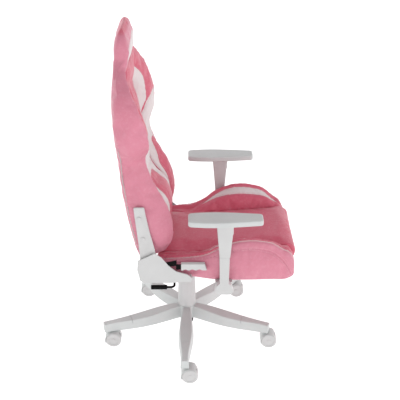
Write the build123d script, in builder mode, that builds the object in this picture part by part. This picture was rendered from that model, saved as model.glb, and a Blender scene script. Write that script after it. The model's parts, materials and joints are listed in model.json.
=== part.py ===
"""Gaming chair with a five-star base, gas lift, tilt mechanism and reclining bucket back.

Millimetres. +X is the way the sitter faces, +Y the sitter's left, +Z up.
The origin is on the floor, on the axis of the column.
Pieces that come in pairs are drawn on the left side (+Y) and mirrored to the right (-Y).
"""
from build123d import *
from math import cos, pi, radians, sin
import os

# ---- base and casters
ARM_COUNT = 5
FIRST_ARM_ANGLE = -91.3
CASTER_CIRCLE_R = 320.0
HUB_R = 36.0
HUB_BOTTOM = 76.0
HUB_TOP = 130.0
CAP_START = 229.0
CAP_FLOOR = 91.0
CAP_GAP = 1.0
ARM_BOTTOM_AT_TIP = 64.5
# (radius, half width at the bottom, bottom height, top height) along one arm
ARM_SECTIONS = [
    (14.0, 19.0, 77.0, 126.0),
    (70.0, 23.5, 74.5, 125.5),
    (135.0, 29.0, 71.0, 115.5),
    (225.0, 24.5, 66.0, 105.0),
    (338.0, 17.0, ARM_BOTTOM_AT_TIP, 99.5),
]
STEM_R = 5.5
STEM_BOTTOM = 52.0
STEM_TOP = 88.0
WHEEL_R = 30.0
WHEEL_INNER_Y = 6.0
WHEEL_OUTER_Y = 24.5
CASTER_TRAIL = 18.0
AXLE_R = 4.0
HOOD_INNER_R = 30.9
HOOD_OUTER_R = 32.6

# ---- gas lift and column covers
TUBE_R = 25.0
TUBE_BOTTOM = 48.0
TUBE_TOP = 250.0
CYLINDER_R = 14.0
CYLINDER_BOTTOM = 69.0
CYLINDER_TOP = 321.0
ROD_R = 5.0
VALVE_PIN_R = 3.0
COVER_OUTER_TOP = 262.0
COVER_MIDDLE_TOP = 275.0
COVER_INNER_TOP = 287.0
FIT = 0.05

# ---- tilt mechanism under the seat
HOUSING_REAR = -75.0
HOUSING_FRONT = 174.0
HOUSING_HALF_Y = 55.0
HOUSING_BOTTOM = 318.0
HOUSING_TOP = 352.0
SHEET = 3.0
TILT_X = 45.0
TILT_Z = 340.0
TILT_SHAFT_R = 6.0
LEVER_X = -44.0
LEVER_Z = 331.0
LEVER_GRIP_Y = -200.0
LEVER_ROD_R = 4.0
KNOB_X = 150.0
KNOB_BOTTOM = 246.0
KNOB_TOP = 266.0

# ---- seat
SEAT_BOTTOM = 392.0
SEAT_REAR = -105.0
SEAT_CORE_HALF_Y = 150.0
FRAME_BAR = 20.0
# (x, half width, height of the outer seam, height of the ridge, height of the core) along a bolster
BOLSTER_SECTIONS = [
    (SEAT_REAR, 214.0, 448.0, 464.0, 457.0),
    (-40.0, 222.0, 458.0, 468.0, 458.0),
    (20.0, 225.0, 464.0, 474.0, 459.0),
    (70.0, 238.0, 474.0, 490.0, 461.0),
    (115.0, 248.0, 490.0, 518.0, 463.0),
    (165.0, 250.0, 503.0, 541.0, 466.0),
    (215.0, 250.0, 506.0, 549.0, 469.0),
    (265.0, 249.0, 503.0, 544.0, 472.0),
    (310.0, 246.0, 490.0, 530.0, 474.0),
    (345.0, 241.0, 470.0, 503.0, 474.0),
    (375.0, 232.0, 438.0, 470.0, 466.0),
    (392.0, 218.0, 425.0, 446.0, 444.0),
]

# ---- recliner
RECLINE_X = -135.0
RECLINE_Z = 435.0
RECLINE_SHAFT_R = 5.0
PLATE_Y = 225.0
PLATE_T = 5.0
HUB_DISC_Y = 230.0
HUB_DISC_T = 8.9
ARM_Y = 239.5
ARM_T = 6.0
LEVER_Y = 247.2
LEVER_T = 4.0
COVER_Y = 231.0
COVER_WALL_Y = 253.0
COVER_OUTER_Y = 256.0

# ---- backrest
BACK_CORE_HALF_Y = 125.0
BACK_FRAME_R = 11.0
BACK_RAIL_Y = 202.0
# (z, rear x, core front x, rim x, rim half width, outer half width) up the backrest
BACK_SECTIONS = [
    (474.0, -172.0, -90.0, -76.0, 184.0, 212.0),
    (520.0, -186.0, -74.0, -50.0, 191.0, 226.0),
    (570.0, -196.0, -66.0, -43.0, 196.0, 234.0),
    (640.0, -209.0, -88.0, -54.0, 195.0, 235.0),
    (710.0, -220.0, -126.0, -82.0, 190.0, 229.0),
    (780.0, -227.0, -143.0, -116.0, 184.0, 220.0),
    (842.0, -231.0, -158.0, -128.0, 183.0, 219.0),
    (885.0, -234.0, -170.0, -121.0, 222.0, 248.0),
    (925.0, -236.0, -180.0, -115.0, 259.0, 271.0),
    (985.0, -238.0, -189.0, -128.0, 266.0, 277.0),
    (1040.0, -240.0, -194.0, -147.0, 256.0, 269.0),
    (1085.0, -239.0, -192.0, -168.0, 232.0, 246.0),
    (1115.0, -238.0, -190.0, -180.0, 200.0, 214.0),
    (1140.0, -236.0, -188.0, -186.0, 156.0, 170.0),
]
# (z, rear x, front x, half width) up the head section
HEAD_SECTIONS = [
    (1140.3, -236.0, -187.0, 160.0),
    (1160.0, -234.0, -184.0, 147.0),
    (1200.0, -231.0, -175.0, 138.0),
    (1232.0, -227.0, -171.0, 131.0),
    (1252.0, -220.0, -173.0, 114.0),
    (1265.0, -212.0, -179.0, 88.0),
    (1272.0, -205.0, -186.0, 55.0),
]

# ---- armrests
PAD_TOP = 658.6
PAD_T = 20.0
PAD_REAR = 8.0
PAD_FRONT = 266.0
ARMREST_Y = 273.0
POST_X = 135.0
SLEEVE_BOTTOM = 505.0
BAR_TOP = 612.0
BAR_X = 28.0
BAR_Y = 14.0
BUTTON_Z = 604.0

XZ = Plane(origin=(0, 0, 0), x_dir=(1, 0, 0), z_dir=(0, -1, 0))


def side_plane(y):
    """The X-Z plane at this y, facing -Y, so an extrusion of it runs towards -Y."""
    return XZ.offset(-y)


def save(piece, name):
    """Label a finished piece and write its STEP file."""
    piece.part.label = name
    export_step(piece.part, f"parts/{name}.step")


def save_pair(piece, name):
    """Write a left piece and its mirror image on the right."""
    save(piece, name.replace("SIDE", "left"))
    with BuildPart() as other:
        add(mirror(piece.part, about=Plane.XZ, mode=Mode.PRIVATE))
    save(other, name.replace("SIDE", "right"))


def tube(bottom, top, outer_r, inner_r):
    """A plain upright sleeve on the column axis."""
    with BuildPart() as sleeve:
        with BuildSketch(Plane.XY.offset(bottom)):
            Circle(outer_r)
            Circle(inner_r, mode=Mode.SUBTRACT)
        extrude(amount=top - bottom)
    return sleeve


# ---------------------------------------------------------------- base and casters

def make_arm():
    """One nylon arm along +X, wider in the middle, lower at the tip."""
    with BuildPart() as arm:
        for radius, half, bottom, top in ARM_SECTIONS:
            with BuildSketch(Plane(origin=(radius, 0, 0), x_dir=(0, 1, 0), z_dir=(1, 0, 0))) as section:
                with BuildLine():
                    Polyline(
                        (-half, bottom), (half, bottom), (0.8 * half, top), (-0.8 * half, top), close=True
                    )
                make_face()
                fillet(section.vertices().group_by(Axis.Y)[-1], 5.0)
                fillet(section.vertices().group_by(Axis.Y)[0], 3.0)
        loft()
        front = arm.faces().sort_by(Axis.X)[-1]
        fillet(front.edges(), 2.4)
        with Locations((CASTER_CIRCLE_R, 0, STEM_TOP + 1)):
            Cylinder(
                STEM_R + FIT, STEM_TOP, align=(Align.CENTER, Align.CENTER, Align.MAX), mode=Mode.SUBTRACT
            )
    return arm


def cap_space(start, floor):
    """The block that an arm's end cap occupies, from start outwards and from floor upwards."""
    with BuildPart() as space:
        with BuildSketch(Plane.XY.offset(floor)):
            with Locations((start + 60, 0)):
                Rectangle(120, 80)
        extrude(amount=40)
    return space


def make_base(arm):
    """The one-piece star: hub, five arms and stem sockets, with the caps' seats cut away."""
    seat = cap_space(CAP_START - CAP_GAP, CAP_FLOOR)
    with BuildPart() as star:
        with BuildSketch(Plane.XY.offset(HUB_BOTTOM)):
            Circle(HUB_R)
        extrude(amount=HUB_TOP - HUB_BOTTOM)
        with PolarLocations(0, ARM_COUNT, start_angle=FIRST_ARM_ANGLE):
            add(arm.part)
        with PolarLocations(0, ARM_COUNT, start_angle=FIRST_ARM_ANGLE):
            add(seat.part, mode=Mode.SUBTRACT)
        with BuildSketch(Plane.XY.offset(HUB_BOTTOM - 10)):
            Circle(TUBE_R + FIT)
        extrude(amount=HUB_TOP, mode=Mode.SUBTRACT)
    return star


def make_caps(arm):
    """The five snap-on caps over the arm ends."""
    space = cap_space(CAP_START, CAP_FLOOR)
    with BuildPart() as cap:
        add(arm.part)
        add(space.part, mode=Mode.INTERSECT)
    with BuildPart() as caps:
        with PolarLocations(0, ARM_COUNT, start_angle=FIRST_ARM_ANGLE):
            add(cap.part)
    return caps


def make_fork(x, y):
    """A caster's hood, centre web and stem, with the wheel trailing towards +X."""
    centre = (x + CASTER_TRAIL, WHEEL_R)
    with BuildSketch(XZ) as below_hood:
        with BuildLine():
            Polyline(centre, (x + 62, 80), (x + 62, -10), (x - 10, -10), (x - 30, 12), close=True)
        make_face()
    open_side = below_hood.sketch_local
    with BuildPart() as fork:
        with BuildSketch(side_plane(y + WHEEL_OUTER_Y)):
            with Locations(centre):
                Circle(HOOD_OUTER_R)
                Circle(HOOD_INNER_R, mode=Mode.SUBTRACT)
            add(open_side, mode=Mode.SUBTRACT)
        extrude(amount=2 * WHEEL_OUTER_Y)
        with BuildSketch(side_plane(y + WHEEL_INNER_Y - 1)):
            with Locations(centre):
                Circle(HOOD_INNER_R + 0.4)
            add(open_side, mode=Mode.SUBTRACT)
            with Locations(centre):
                Circle(10.0)
                Circle(AXLE_R + FIT, mode=Mode.SUBTRACT)
        extrude(amount=2 * (WHEEL_INNER_Y - 1))
        with BuildSketch(Plane.XY.offset(STEM_BOTTOM)):
            with Locations((x, y)):
                Circle(STEM_R)
        extrude(amount=STEM_TOP - STEM_BOTTOM)
    return fork


def make_wheels(x, y):
    """A caster's twin wheels, dished on the outside, and the axle pin that they turn on."""
    centre = (x + CASTER_TRAIL, WHEEL_R)
    with BuildPart() as wheels:
        for side in (1, -1):
            outer = y + side * WHEEL_OUTER_Y
            width = side * (WHEEL_OUTER_Y - WHEEL_INNER_Y)
            with BuildSketch(side_plane(outer)):
                with Locations(centre):
                    Circle(WHEEL_R)
            extrude(amount=width)
            rim = wheels.faces().filter_by(Axis.Y).sort_by(Axis.Y)[-1 if side > 0 else 0]
            fillet(rim.edges(), 4.0)
            with BuildSketch(side_plane(outer)):
                with Locations(centre):
                    Circle(21.0)
                    Circle(8.0, mode=Mode.SUBTRACT)
            extrude(amount=side * 1.5, mode=Mode.SUBTRACT)
            with BuildSketch(side_plane(y)):
                with Locations(centre):
                    Circle(AXLE_R + FIT)
            extrude(amount=-side * (WHEEL_OUTER_Y - 3), mode=Mode.SUBTRACT)
        with BuildSketch(side_plane(y + WHEEL_OUTER_Y - 3.5)):
            with Locations(centre):
                Circle(AXLE_R)
        extrude(amount=2 * (WHEEL_OUTER_Y - 3.5))
    return wheels


def make_casters():
    """Five casters under the arm tips, numbered round from the right-hand arm."""
    for number in range(ARM_COUNT):
        angle = radians(FIRST_ARM_ANGLE + number * 360 / ARM_COUNT)
        x = CASTER_CIRCLE_R * cos(angle)
        y = CASTER_CIRCLE_R * sin(angle)
        save(make_fork(x, y), f"caster_{number + 1}_fork")
        save(make_wheels(x, y), f"caster_{number + 1}_wheels")


# ---------------------------------------------------------------- column

def revolved(points):
    """A body of revolution on the column axis from its (radius, height) outline."""
    with BuildPart() as body:
        with BuildSketch(Plane.XZ):
            with BuildLine():
                Polyline(*points, close=True)
            make_face()
        revolve(axis=Axis.Z)
    return body


def make_lift_tube():
    """The pressed-in outer tube, open at the top, with the rod's hole in its floor."""
    hole = ROD_R + FIT
    inner = TUBE_R - 2.0
    return revolved([
        (hole, TUBE_BOTTOM), (TUBE_R, TUBE_BOTTOM), (TUBE_R, TUBE_TOP), (inner, TUBE_TOP),
        (inner, TUBE_BOTTOM + 4), (hole, TUBE_BOTTOM + 4),
    ])


def make_piston_rod():
    """The rod that carries the seat's weight, with the flange that rides on the thrust bearing."""
    return revolved([
        (0, TUBE_BOTTOM - 3), (ROD_R, TUBE_BOTTOM - 3), (ROD_R, 60), (10, 60), (10, 65), (ROD_R, 65),
        (ROD_R, 215), (0, 215),
    ])


def make_gas_cylinder():
    """The sliding cylinder, with the bores of the rod and of the valve pin."""
    rod_bore = ROD_R + FIT
    pin_bore = VALVE_PIN_R + FIT
    return revolved([
        (rod_bore, CYLINDER_BOTTOM), (CYLINDER_R, CYLINDER_BOTTOM), (CYLINDER_R, CYLINDER_TOP),
        (pin_bore, CYLINDER_TOP), (pin_bore, 300), (0, 300), (0, 240), (rod_bore, 240),
    ])


def make_outer_cover():
    """The lowest section of the telescopic cover: tapered outside, rounded where it meets the hub."""
    with BuildPart() as cover:
        with BuildSketch(Plane.XZ):
            with BuildLine():
                Polyline(
                    (TUBE_R + 0.6, HUB_TOP), (HUB_R, HUB_TOP), (31.8, COVER_OUTER_TOP),
                    (29.9, COVER_OUTER_TOP), (29.9, HUB_TOP + 4), (TUBE_R + 0.6, HUB_TOP + 4), close=True,
                )
            make_face()
        revolve(axis=Axis.Z)
        fillet(cover.edges().group_by(Axis.Z)[0].sort_by(SortBy.LENGTH)[-1], 3.0)
        fillet(cover.edges().group_by(Axis.Z)[-1].sort_by(SortBy.LENGTH)[-1], 1.0)
    return cover


def make_column():
    """Everything on the column axis between the hub and the tilt housing."""
    save(make_lift_tube(), "gas_lift_tube")
    save(tube(TUBE_TOP - 60, TUBE_TOP - 1, TUBE_R - 2.05, CYLINDER_R + FIT), "guide_bush")
    save(make_piston_rod(), "piston_rod")
    save(tube(TUBE_BOTTOM + 4.2, 59.8, 12.0, ROD_R + 0.1), "thrust_bearing")
    save(make_gas_cylinder(), "gas_cylinder")
    save(revolved([(0, 308), (VALVE_PIN_R, 308), (VALVE_PIN_R, 326), (0, 326)]), "valve_pin")
    save(make_outer_cover(), "column_cover_outer")
    save(tube(150, COVER_MIDDLE_TOP, 29.5, 27.9), "column_cover_middle")
    save(tube(165, COVER_INNER_TOP, 27.5, TUBE_R + 0.8), "column_cover_inner")


# ---------------------------------------------------------------- tilt mechanism

def make_tilt_housing():
    """The pressed pan on the gas cylinder: four walls, a floor and a welded taper sleeve."""
    length = HOUSING_FRONT - HOUSING_REAR
    middle = (HOUSING_FRONT + HOUSING_REAR) / 2
    with BuildPart() as housing:
        with BuildSketch(Plane.XY.offset(HOUSING_BOTTOM)):
            with Locations((middle, 0)):
                RectangleRounded(length, 2 * HOUSING_HALF_Y, 12)
        extrude(amount=HOUSING_TOP - HOUSING_BOTTOM)
        fillet(housing.edges().group_by(Axis.Z)[0], 4.0)
        with BuildSketch(Plane.XY.offset(HOUSING_BOTTOM + SHEET)):
            with Locations((middle, 0)):
                RectangleRounded(length - 2 * SHEET, 2 * (HOUSING_HALF_Y - SHEET), 9)
        extrude(amount=HOUSING_TOP, mode=Mode.SUBTRACT)
        with BuildSketch(Plane.XY.offset(COVER_INNER_TOP)):
            Circle(25.0)
        extrude(amount=CYLINDER_TOP - COVER_INNER_TOP + 1)
        with BuildSketch(Plane.XY.offset(COVER_INNER_TOP)):
            Circle(CYLINDER_R + FIT)
        extrude(amount=60, mode=Mode.SUBTRACT)
        with BuildSketch(Plane.XY.offset(HOUSING_BOTTOM - 1)):
            with Locations((KNOB_X, 0)):
                Circle(12.0)
        extrude(amount=6, mode=Mode.SUBTRACT)
        with BuildSketch(side_plane(HOUSING_HALF_Y + 1)):
            with Locations((TILT_X, TILT_Z)):
                Circle(TILT_SHAFT_R + FIT)
            with Locations((LEVER_X, LEVER_Z)):
                Circle(LEVER_ROD_R + FIT)
        extrude(amount=2 * HOUSING_HALF_Y + 2, mode=Mode.SUBTRACT)
    return housing


def make_seat_plate():
    """The plate that carries the seat, with the two ears of the tilt pivot."""
    ear_y = HOUSING_HALF_Y + 0.5
    with BuildPart() as plate:
        with BuildSketch(Plane.XY.offset(SEAT_BOTTOM - 4)):
            with Locations((35, 0)):
                RectangleRounded(270, 190, 12)
            with Locations((KNOB_X, 0)):
                Circle(LEVER_ROD_R + FIT, mode=Mode.SUBTRACT)
        extrude(amount=4)
        for side in (1, -1):
            with BuildSketch(side_plane(side * ear_y)):
                with Locations((TILT_X, TILT_Z)):
                    Circle(13.0)
                with BuildLine():
                    Polyline(
                        (TILT_X - 13, TILT_Z), (TILT_X + 13, TILT_Z), (TILT_X + 30, SEAT_BOTTOM - 3),
                        (TILT_X - 30, SEAT_BOTTOM - 3), close=True,
                    )
                make_face()
                with Locations((TILT_X, TILT_Z)):
                    Circle(TILT_SHAFT_R + FIT, mode=Mode.SUBTRACT)
            extrude(amount=-side * 4)
    return plate


def make_tilt_spring():
    """The coil between the housing floor and the tension knob."""
    wire = 2.0
    coil_r = 15.0
    height = HOUSING_BOTTOM - KNOB_TOP - 2 * wire - 1
    turns = 5
    with BuildPart() as spring:
        with BuildLine(Plane(origin=(KNOB_X, 0, KNOB_TOP + wire + 0.5))) as path:
            Helix(pitch=height / turns, height=height, radius=coil_r)
        with BuildSketch(Plane(origin=path.line @ 0, z_dir=path.line % 0)):
            Circle(wire)
        sweep(path=path.line, is_frenet=True)
    return spring


def make_tension_knob():
    """The round hand knob under the front of the housing, with finger lobes."""
    with BuildPart() as knob:
        with BuildSketch(Plane.XY.offset(KNOB_BOTTOM)):
            with Locations((KNOB_X, 0)):
                Circle(24.0)
            with Locations((KNOB_X, 0)):
                with PolarLocations(28.0, 8):
                    Circle(7.5, mode=Mode.SUBTRACT)
        extrude(amount=KNOB_TOP - KNOB_BOTTOM)
        fillet(knob.edges().group_by(Axis.Z)[0], 1.5)
        with BuildSketch(Plane.XY.offset(KNOB_BOTTOM + 5)):
            with Locations((KNOB_X, 0)):
                Circle(LEVER_ROD_R)
        extrude(amount=KNOB_TOP, mode=Mode.SUBTRACT)
    return knob


def make_tension_bolt():
    """The bolt moulded into the knob, with its nut above the seat plate."""
    with BuildPart() as bolt:
        with BuildSketch(Plane.XY.offset(KNOB_BOTTOM + 5)):
            with Locations((KNOB_X, 0)):
                Circle(LEVER_ROD_R)
        extrude(amount=SEAT_BOTTOM + 1 - KNOB_BOTTOM - 5)
        with BuildSketch(Plane.XY.offset(SEAT_BOTTOM + 0.2)):
            with Locations((KNOB_X, 0)):
                RegularPolygon(7.0, 6)
        extrude(amount=6)
    return bolt


def make_lift_lever():
    """The bent rod of the lift lever: across the housing, out to the side, then towards the rear."""
    with BuildPart() as lever:
        with BuildLine() as path:
            FilletPolyline(
                (LEVER_X, HOUSING_HALF_Y + 2, LEVER_Z), (LEVER_X, LEVER_GRIP_Y, LEVER_Z),
                (LEVER_X - 40, LEVER_GRIP_Y, LEVER_Z), radius=14,
            )
        with BuildSketch(Plane(origin=path.line @ 0, z_dir=path.line % 0)):
            Circle(LEVER_ROD_R)
        sweep(path=path.line)
        with BuildSketch(side_plane(6)):
            with BuildLine():
                Polyline(
                    (LEVER_X, LEVER_Z - 2), (6, LEVER_Z - 2), (6, LEVER_Z + 1), (LEVER_X, LEVER_Z + 3),
                    close=True,
                )
            make_face()
        extrude(amount=12)
    return lever


def make_lift_grip():
    """The round black grip on the end of the lift lever."""
    with BuildPart() as grip:
        with BuildSketch(Plane(origin=(LEVER_X - 27, LEVER_GRIP_Y, LEVER_Z), z_dir=(-1, 0, 0))):
            Circle(8.6)
        extrude(amount=59)
        fillet(grip.edges().filter_by(GeomType.CIRCLE), 2.5)
        with BuildSketch(Plane(origin=(LEVER_X - 26, LEVER_GRIP_Y, LEVER_Z), z_dir=(-1, 0, 0))):
            Circle(LEVER_ROD_R)
        extrude(amount=14, mode=Mode.SUBTRACT)
    return grip


def make_mechanism():
    """The tilt housing and what turns, presses and springs in it."""
    save(make_tilt_housing(), "tilt_housing")
    with BuildPart() as shaft:
        with BuildSketch(side_plane(HOUSING_HALF_Y + 7)):
            with Locations((TILT_X, TILT_Z)):
                Circle(TILT_SHAFT_R)
        extrude(amount=2 * HOUSING_HALF_Y + 14)
    save(shaft, "tilt_shaft")
    save(make_tilt_spring(), "tilt_spring")
    save(make_tension_knob(), "tension_knob")
    save(make_tension_bolt(), "tension_bolt")
    save(make_lift_lever(), "lift_lever_rod")
    save(make_lift_grip(), "lift_lever_grip")
    save(make_seat_plate(), "seat_plate")


# ---------------------------------------------------------------- seat

def make_seat_frame():
    """The ring, two cross members and tabs of the seat frame, still without the channel's hollow."""
    bar = FRAME_BAR
    with BuildPart() as frame:
        with BuildSketch(Plane.XY.offset(SEAT_BOTTOM)):
            with Locations((120, 0)):
                RectangleRounded(410, 390, 45)
                RectangleRounded(410 - 2 * bar, 390 - 2 * bar, 30, mode=Mode.SUBTRACT)
            with Locations((-55, 0), (125, 0)):
                Rectangle(bar, 370)
            with Locations((-71, PLATE_Y - 20), (-71, 20 - PLATE_Y)):
                Rectangle(18, 40)
        extrude(amount=bar)
    return frame


def make_seat_channel(frame):
    """The seat frame as pressed channel, open underneath."""
    wall = 2.0
    with BuildPart() as channel:
        add(frame.part)
        with BuildSketch(Plane.XY.offset(SEAT_BOTTOM - 1)):
            with Locations((120, 0)):
                RectangleRounded(410 - 2 * wall, 390 - 2 * wall, 43)
                RectangleRounded(410 - 2 * FRAME_BAR + 2 * wall, 390 - 2 * FRAME_BAR + 2 * wall, 32,
                                 mode=Mode.SUBTRACT)
        extrude(amount=FRAME_BAR + 1 - wall, mode=Mode.SUBTRACT)
    return channel


def make_webbing():
    """Elastic straps across the frame, under the foam."""
    with BuildPart() as webbing:
        with BuildSketch(Plane.XY.offset(SEAT_BOTTOM + 20)):
            with Locations((160, 0)):
                with GridLocations(70, 1, 5, 1):
                    Rectangle(45, 370)
        extrude(amount=2)
    return webbing


def make_seat_cushion(hollows):
    """The middle of the seat: flat underneath, rounded nose, cut out over the frame and straps."""
    with BuildPart() as cushion:
        with BuildSketch(side_plane(SEAT_CORE_HALF_Y)):
            with BuildLine():
                rear = Line((SEAT_REAR, 457), (SEAT_REAR, SEAT_BOTTOM))
                floor = Line(rear @ 1, (362, SEAT_BOTTOM))
                nose = Spline(floor @ 1, (388, 423), (402, 455), (380, 474))
                Spline(nose @ 1, (180, 468), (20, 459), rear @ 0)
            make_face()
        extrude(amount=2 * SEAT_CORE_HALF_Y)
        for hollow in hollows:
            add(hollow, mode=Mode.SUBTRACT)
    return cushion


def make_seat_bolster(hollows):
    """The left side of the seat: it rises into the thigh wing and rounds off at the front."""
    with BuildPart() as bolster:
        for x, half, seam, ridge, core in BOLSTER_SECTIONS:
            with BuildSketch(Plane(origin=(x, 0, 0), x_dir=(0, 1, 0), z_dir=(1, 0, 0))):
                with BuildLine():
                    Polyline(
                        (SEAT_CORE_HALF_Y, SEAT_BOTTOM), (half - 6, SEAT_BOTTOM),
                        (half, SEAT_BOTTOM + 12), (half, seam), (half - 12, ridge - 6),
                        (half - 26, ridge), (half - 40, ridge - 4), (SEAT_CORE_HALF_Y, core), close=True,
                    )
                make_face()
        loft(ruled=True)
        for hollow in hollows:
            add(hollow, mode=Mode.SUBTRACT)
    return bolster


def make_seat_bolts():
    """Hexagon bolts up through the seat plate and the armrest feet into the frame."""
    plate_bolts = [(-55, 60), (-55, -60), (125, 60), (125, -60)]
    foot_bolts = [(x, side * 185) for x in (115, 152) for side in (1, -1)]
    with BuildPart() as bolts:
        with BuildSketch(Plane.XY.offset(SEAT_BOTTOM - 9)):
            with Locations(*plate_bolts):
                RegularPolygon(6.5, 6)
        extrude(amount=5)
        with BuildSketch(Plane.XY.offset(SEAT_BOTTOM - 10)):
            with Locations(*foot_bolts):
                RegularPolygon(6.5, 6)
        extrude(amount=5)
    return bolts


def make_seat():
    """Frame, straps and upholstery of the seat."""
    frame = make_seat_frame()
    webbing = make_webbing()
    nut_space = Pos(KNOB_X, 0, SEAT_BOTTOM) * Cylinder(
        9.0, 8.0, align=(Align.CENTER, Align.CENTER, Align.MIN)
    )
    hollows = [frame.part, webbing.part, nut_space]
    save(make_seat_channel(frame), "seat_frame")
    save(webbing, "seat_webbing")
    save(make_seat_cushion(hollows), "seat_cushion")
    save_pair(make_seat_bolster(hollows), "seat_bolster_SIDE")
    save(make_seat_bolts(), "seat_bolts")


# ---------------------------------------------------------------- recliner

def disc(y, thickness, radius, bore):
    """A drilled disc on the recline axis, from y towards +Y."""
    with BuildPart() as ring:
        with BuildSketch(side_plane(y)):
            with Locations((RECLINE_X, RECLINE_Z)):
                Circle(radius)
                Circle(bore, mode=Mode.SUBTRACT)
        extrude(amount=-thickness)
    return ring


def mirrored_pair(piece):
    """A left piece and its mirror image together, as one group of two solids."""
    with BuildPart() as pair:
        add(piece.part)
        add(mirror(piece.part, about=Plane.XZ, mode=Mode.PRIVATE))
    return pair


def make_recliner_plate():
    """The fixed plate of the left recliner, from the frame's tab back to the pivot."""
    with BuildPart() as plate:
        with BuildSketch(side_plane(PLATE_Y)):
            with Locations((RECLINE_X, RECLINE_Z)):
                Circle(31.0)
            with Locations((-75, SEAT_BOTTOM + 12)):
                Rectangle(64, 24)
            make_hull()
            with Locations((RECLINE_X, RECLINE_Z)):
                Circle(RECLINE_SHAFT_R + FIT, mode=Mode.SUBTRACT)
        extrude(amount=-PLATE_T)
    return plate


def make_recliner_arm():
    """The upright steel arm that carries the left side of the backrest."""
    with BuildPart() as arm:
        with BuildSketch(side_plane(ARM_Y)) as outline:
            with BuildLine():
                rear = Spline((-163, 438), (-164, 500), (-170, 575), (-180, 682))
                Line(rear @ 1, (-143, 682))
                front = Spline((-143, 682), (-134, 625), (-122, 566), (-108, 500), (-107, 438))
                Line(front @ 1, rear @ 0)
            make_face()
            fillet(outline.vertices().group_by(Axis.Y)[-1], 5.0)
            with Locations((RECLINE_X, RECLINE_Z)):
                Circle(28.0)
                Circle(RECLINE_SHAFT_R + FIT, mode=Mode.SUBTRACT)
        extrude(amount=-ARM_T)
        fillet(arm.edges().group_by(Axis.Y)[-1].group_by(Axis.Z)[-1], 1.2)
    return arm


def cover_outline():
    """The side cover's closed outline in X and Z."""
    with BuildSketch(XZ) as outline:
        with BuildLine():
            Polyline(
                (-171, 476), (-174, 438), (-166, 400), (-152, 385), (-60, 384), (20, 388), (20, 404),
                (6, 418), (-36, 432), (-62, 455), (-88, 490), (-111, 506), close=True,
            )
        make_face()
        fillet(outline.vertices().group_by(Axis.X)[-1], 5.0)
    return outline.sketch


def make_side_cover():
    """The left plastic cover: an outer wall over the recliner and a low rim round the bottom."""
    outline = cover_outline()
    inner = offset(outline, -3.0, mode=Mode.PRIVATE)
    with BuildPart() as cover:
        with BuildSketch(side_plane(COVER_Y)):
            add(outline)
        extrude(amount=-(COVER_OUTER_Y - COVER_Y))
        fillet(cover.faces().sort_by(Axis.Y)[-1].edges(), 1.6)
        with BuildSketch(side_plane(COVER_Y)):
            add(inner)
        extrude(amount=-(COVER_WALL_Y - COVER_Y), mode=Mode.SUBTRACT)
        with BuildSketch(side_plane(COVER_Y)):
            with Locations((-80, 407 + 60)):
                Rectangle(260, 120)
        extrude(amount=-(COVER_WALL_Y - COVER_Y), mode=Mode.SUBTRACT)
        with BuildSketch(side_plane(COVER_Y)):
            with Locations((-95, 400), (-52, 400)):
                Circle(6.0)
                Circle(2.5, mode=Mode.SUBTRACT)
        extrude(amount=-(COVER_WALL_Y - COVER_Y + 1))
    return cover


def make_cover_screws():
    """Pan-head screws through the recliner plates into the bosses of both covers."""
    with BuildPart() as screws:
        for side in (1, -1):
            with BuildSketch(side_plane(side * (PLATE_Y - 2.2))):
                with Locations((-95, 400), (-52, 400)):
                    Circle(4.5)
            extrude(amount=-side * 2)
    return screws


def make_recline_spring():
    """The flat spiral spring that brings the backrest upright, outside the left arm."""
    inner_r = 11.0
    pitch = 4.2
    strip = 2.0
    turns = 3
    steps = 12 * turns

    def winding(extra):
        """Points along the spiral, extra outside its inner face."""
        for step in range(steps + 1):
            angle = 2 * pi * step / 12
            radius = inner_r + pitch * step / 12 + extra
            yield (RECLINE_X + radius * cos(angle), RECLINE_Z + radius * sin(angle))

    with BuildPart() as spring:
        with BuildSketch(side_plane(ARM_Y + ARM_T + 0.6)):
            with BuildLine():
                inside = Spline(*winding(0))
                outside = Spline(*winding(strip))
                Line(inside @ 0, outside @ 0)
                Line(inside @ 1, outside @ 1)
            make_face()
        extrude(amount=-5.0)
    return spring


def make_recline_lever():
    """The black stamped lever of the recliner, on the right side, stepping down to its grip."""
    with BuildPart() as lever:
        with BuildSketch(side_plane(-LEVER_Y)):
            with Locations((RECLINE_X, RECLINE_Z)):
                Circle(13.0)
            with BuildLine():
                Polyline(
                    (RECLINE_X - 4, RECLINE_Z + 12), (RECLINE_X + 8, RECLINE_Z - 10), (-62, 450),
                    (-36, 452), (-36, 437), (-14, 437), (-14, 456), (-34, 458), (-34, 474), (-60, 468),
                    close=True,
                )
            make_face()
            with Locations((RECLINE_X, RECLINE_Z)):
                Circle(RECLINE_SHAFT_R, mode=Mode.SUBTRACT)
        extrude(amount=LEVER_T)
    return lever


def make_recline_grip():
    """The pale grip of the recline lever, with three finger hollows underneath."""
    with BuildPart() as grip:
        with BuildSketch(side_plane(-LEVER_Y + 4)) as outline:
            with BuildLine():
                Polyline((-18, 463), (66, 463), (74, 437), (-18, 437), close=True)
            make_face()
            fillet(outline.vertices(), 2.5)
            with Locations((-3, 429), (22, 429), (47, 429)):
                Circle(12.0, mode=Mode.SUBTRACT)
        extrude(amount=LEVER_T + 11)
        fillet(grip.faces().sort_by(Axis.Y)[0].edges(), 1.2)
        with BuildSketch(side_plane(-LEVER_Y)):
            with Locations((-17, 447)):
                Rectangle(14, 20.4)
        extrude(amount=LEVER_T, mode=Mode.SUBTRACT)
    return grip


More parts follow.
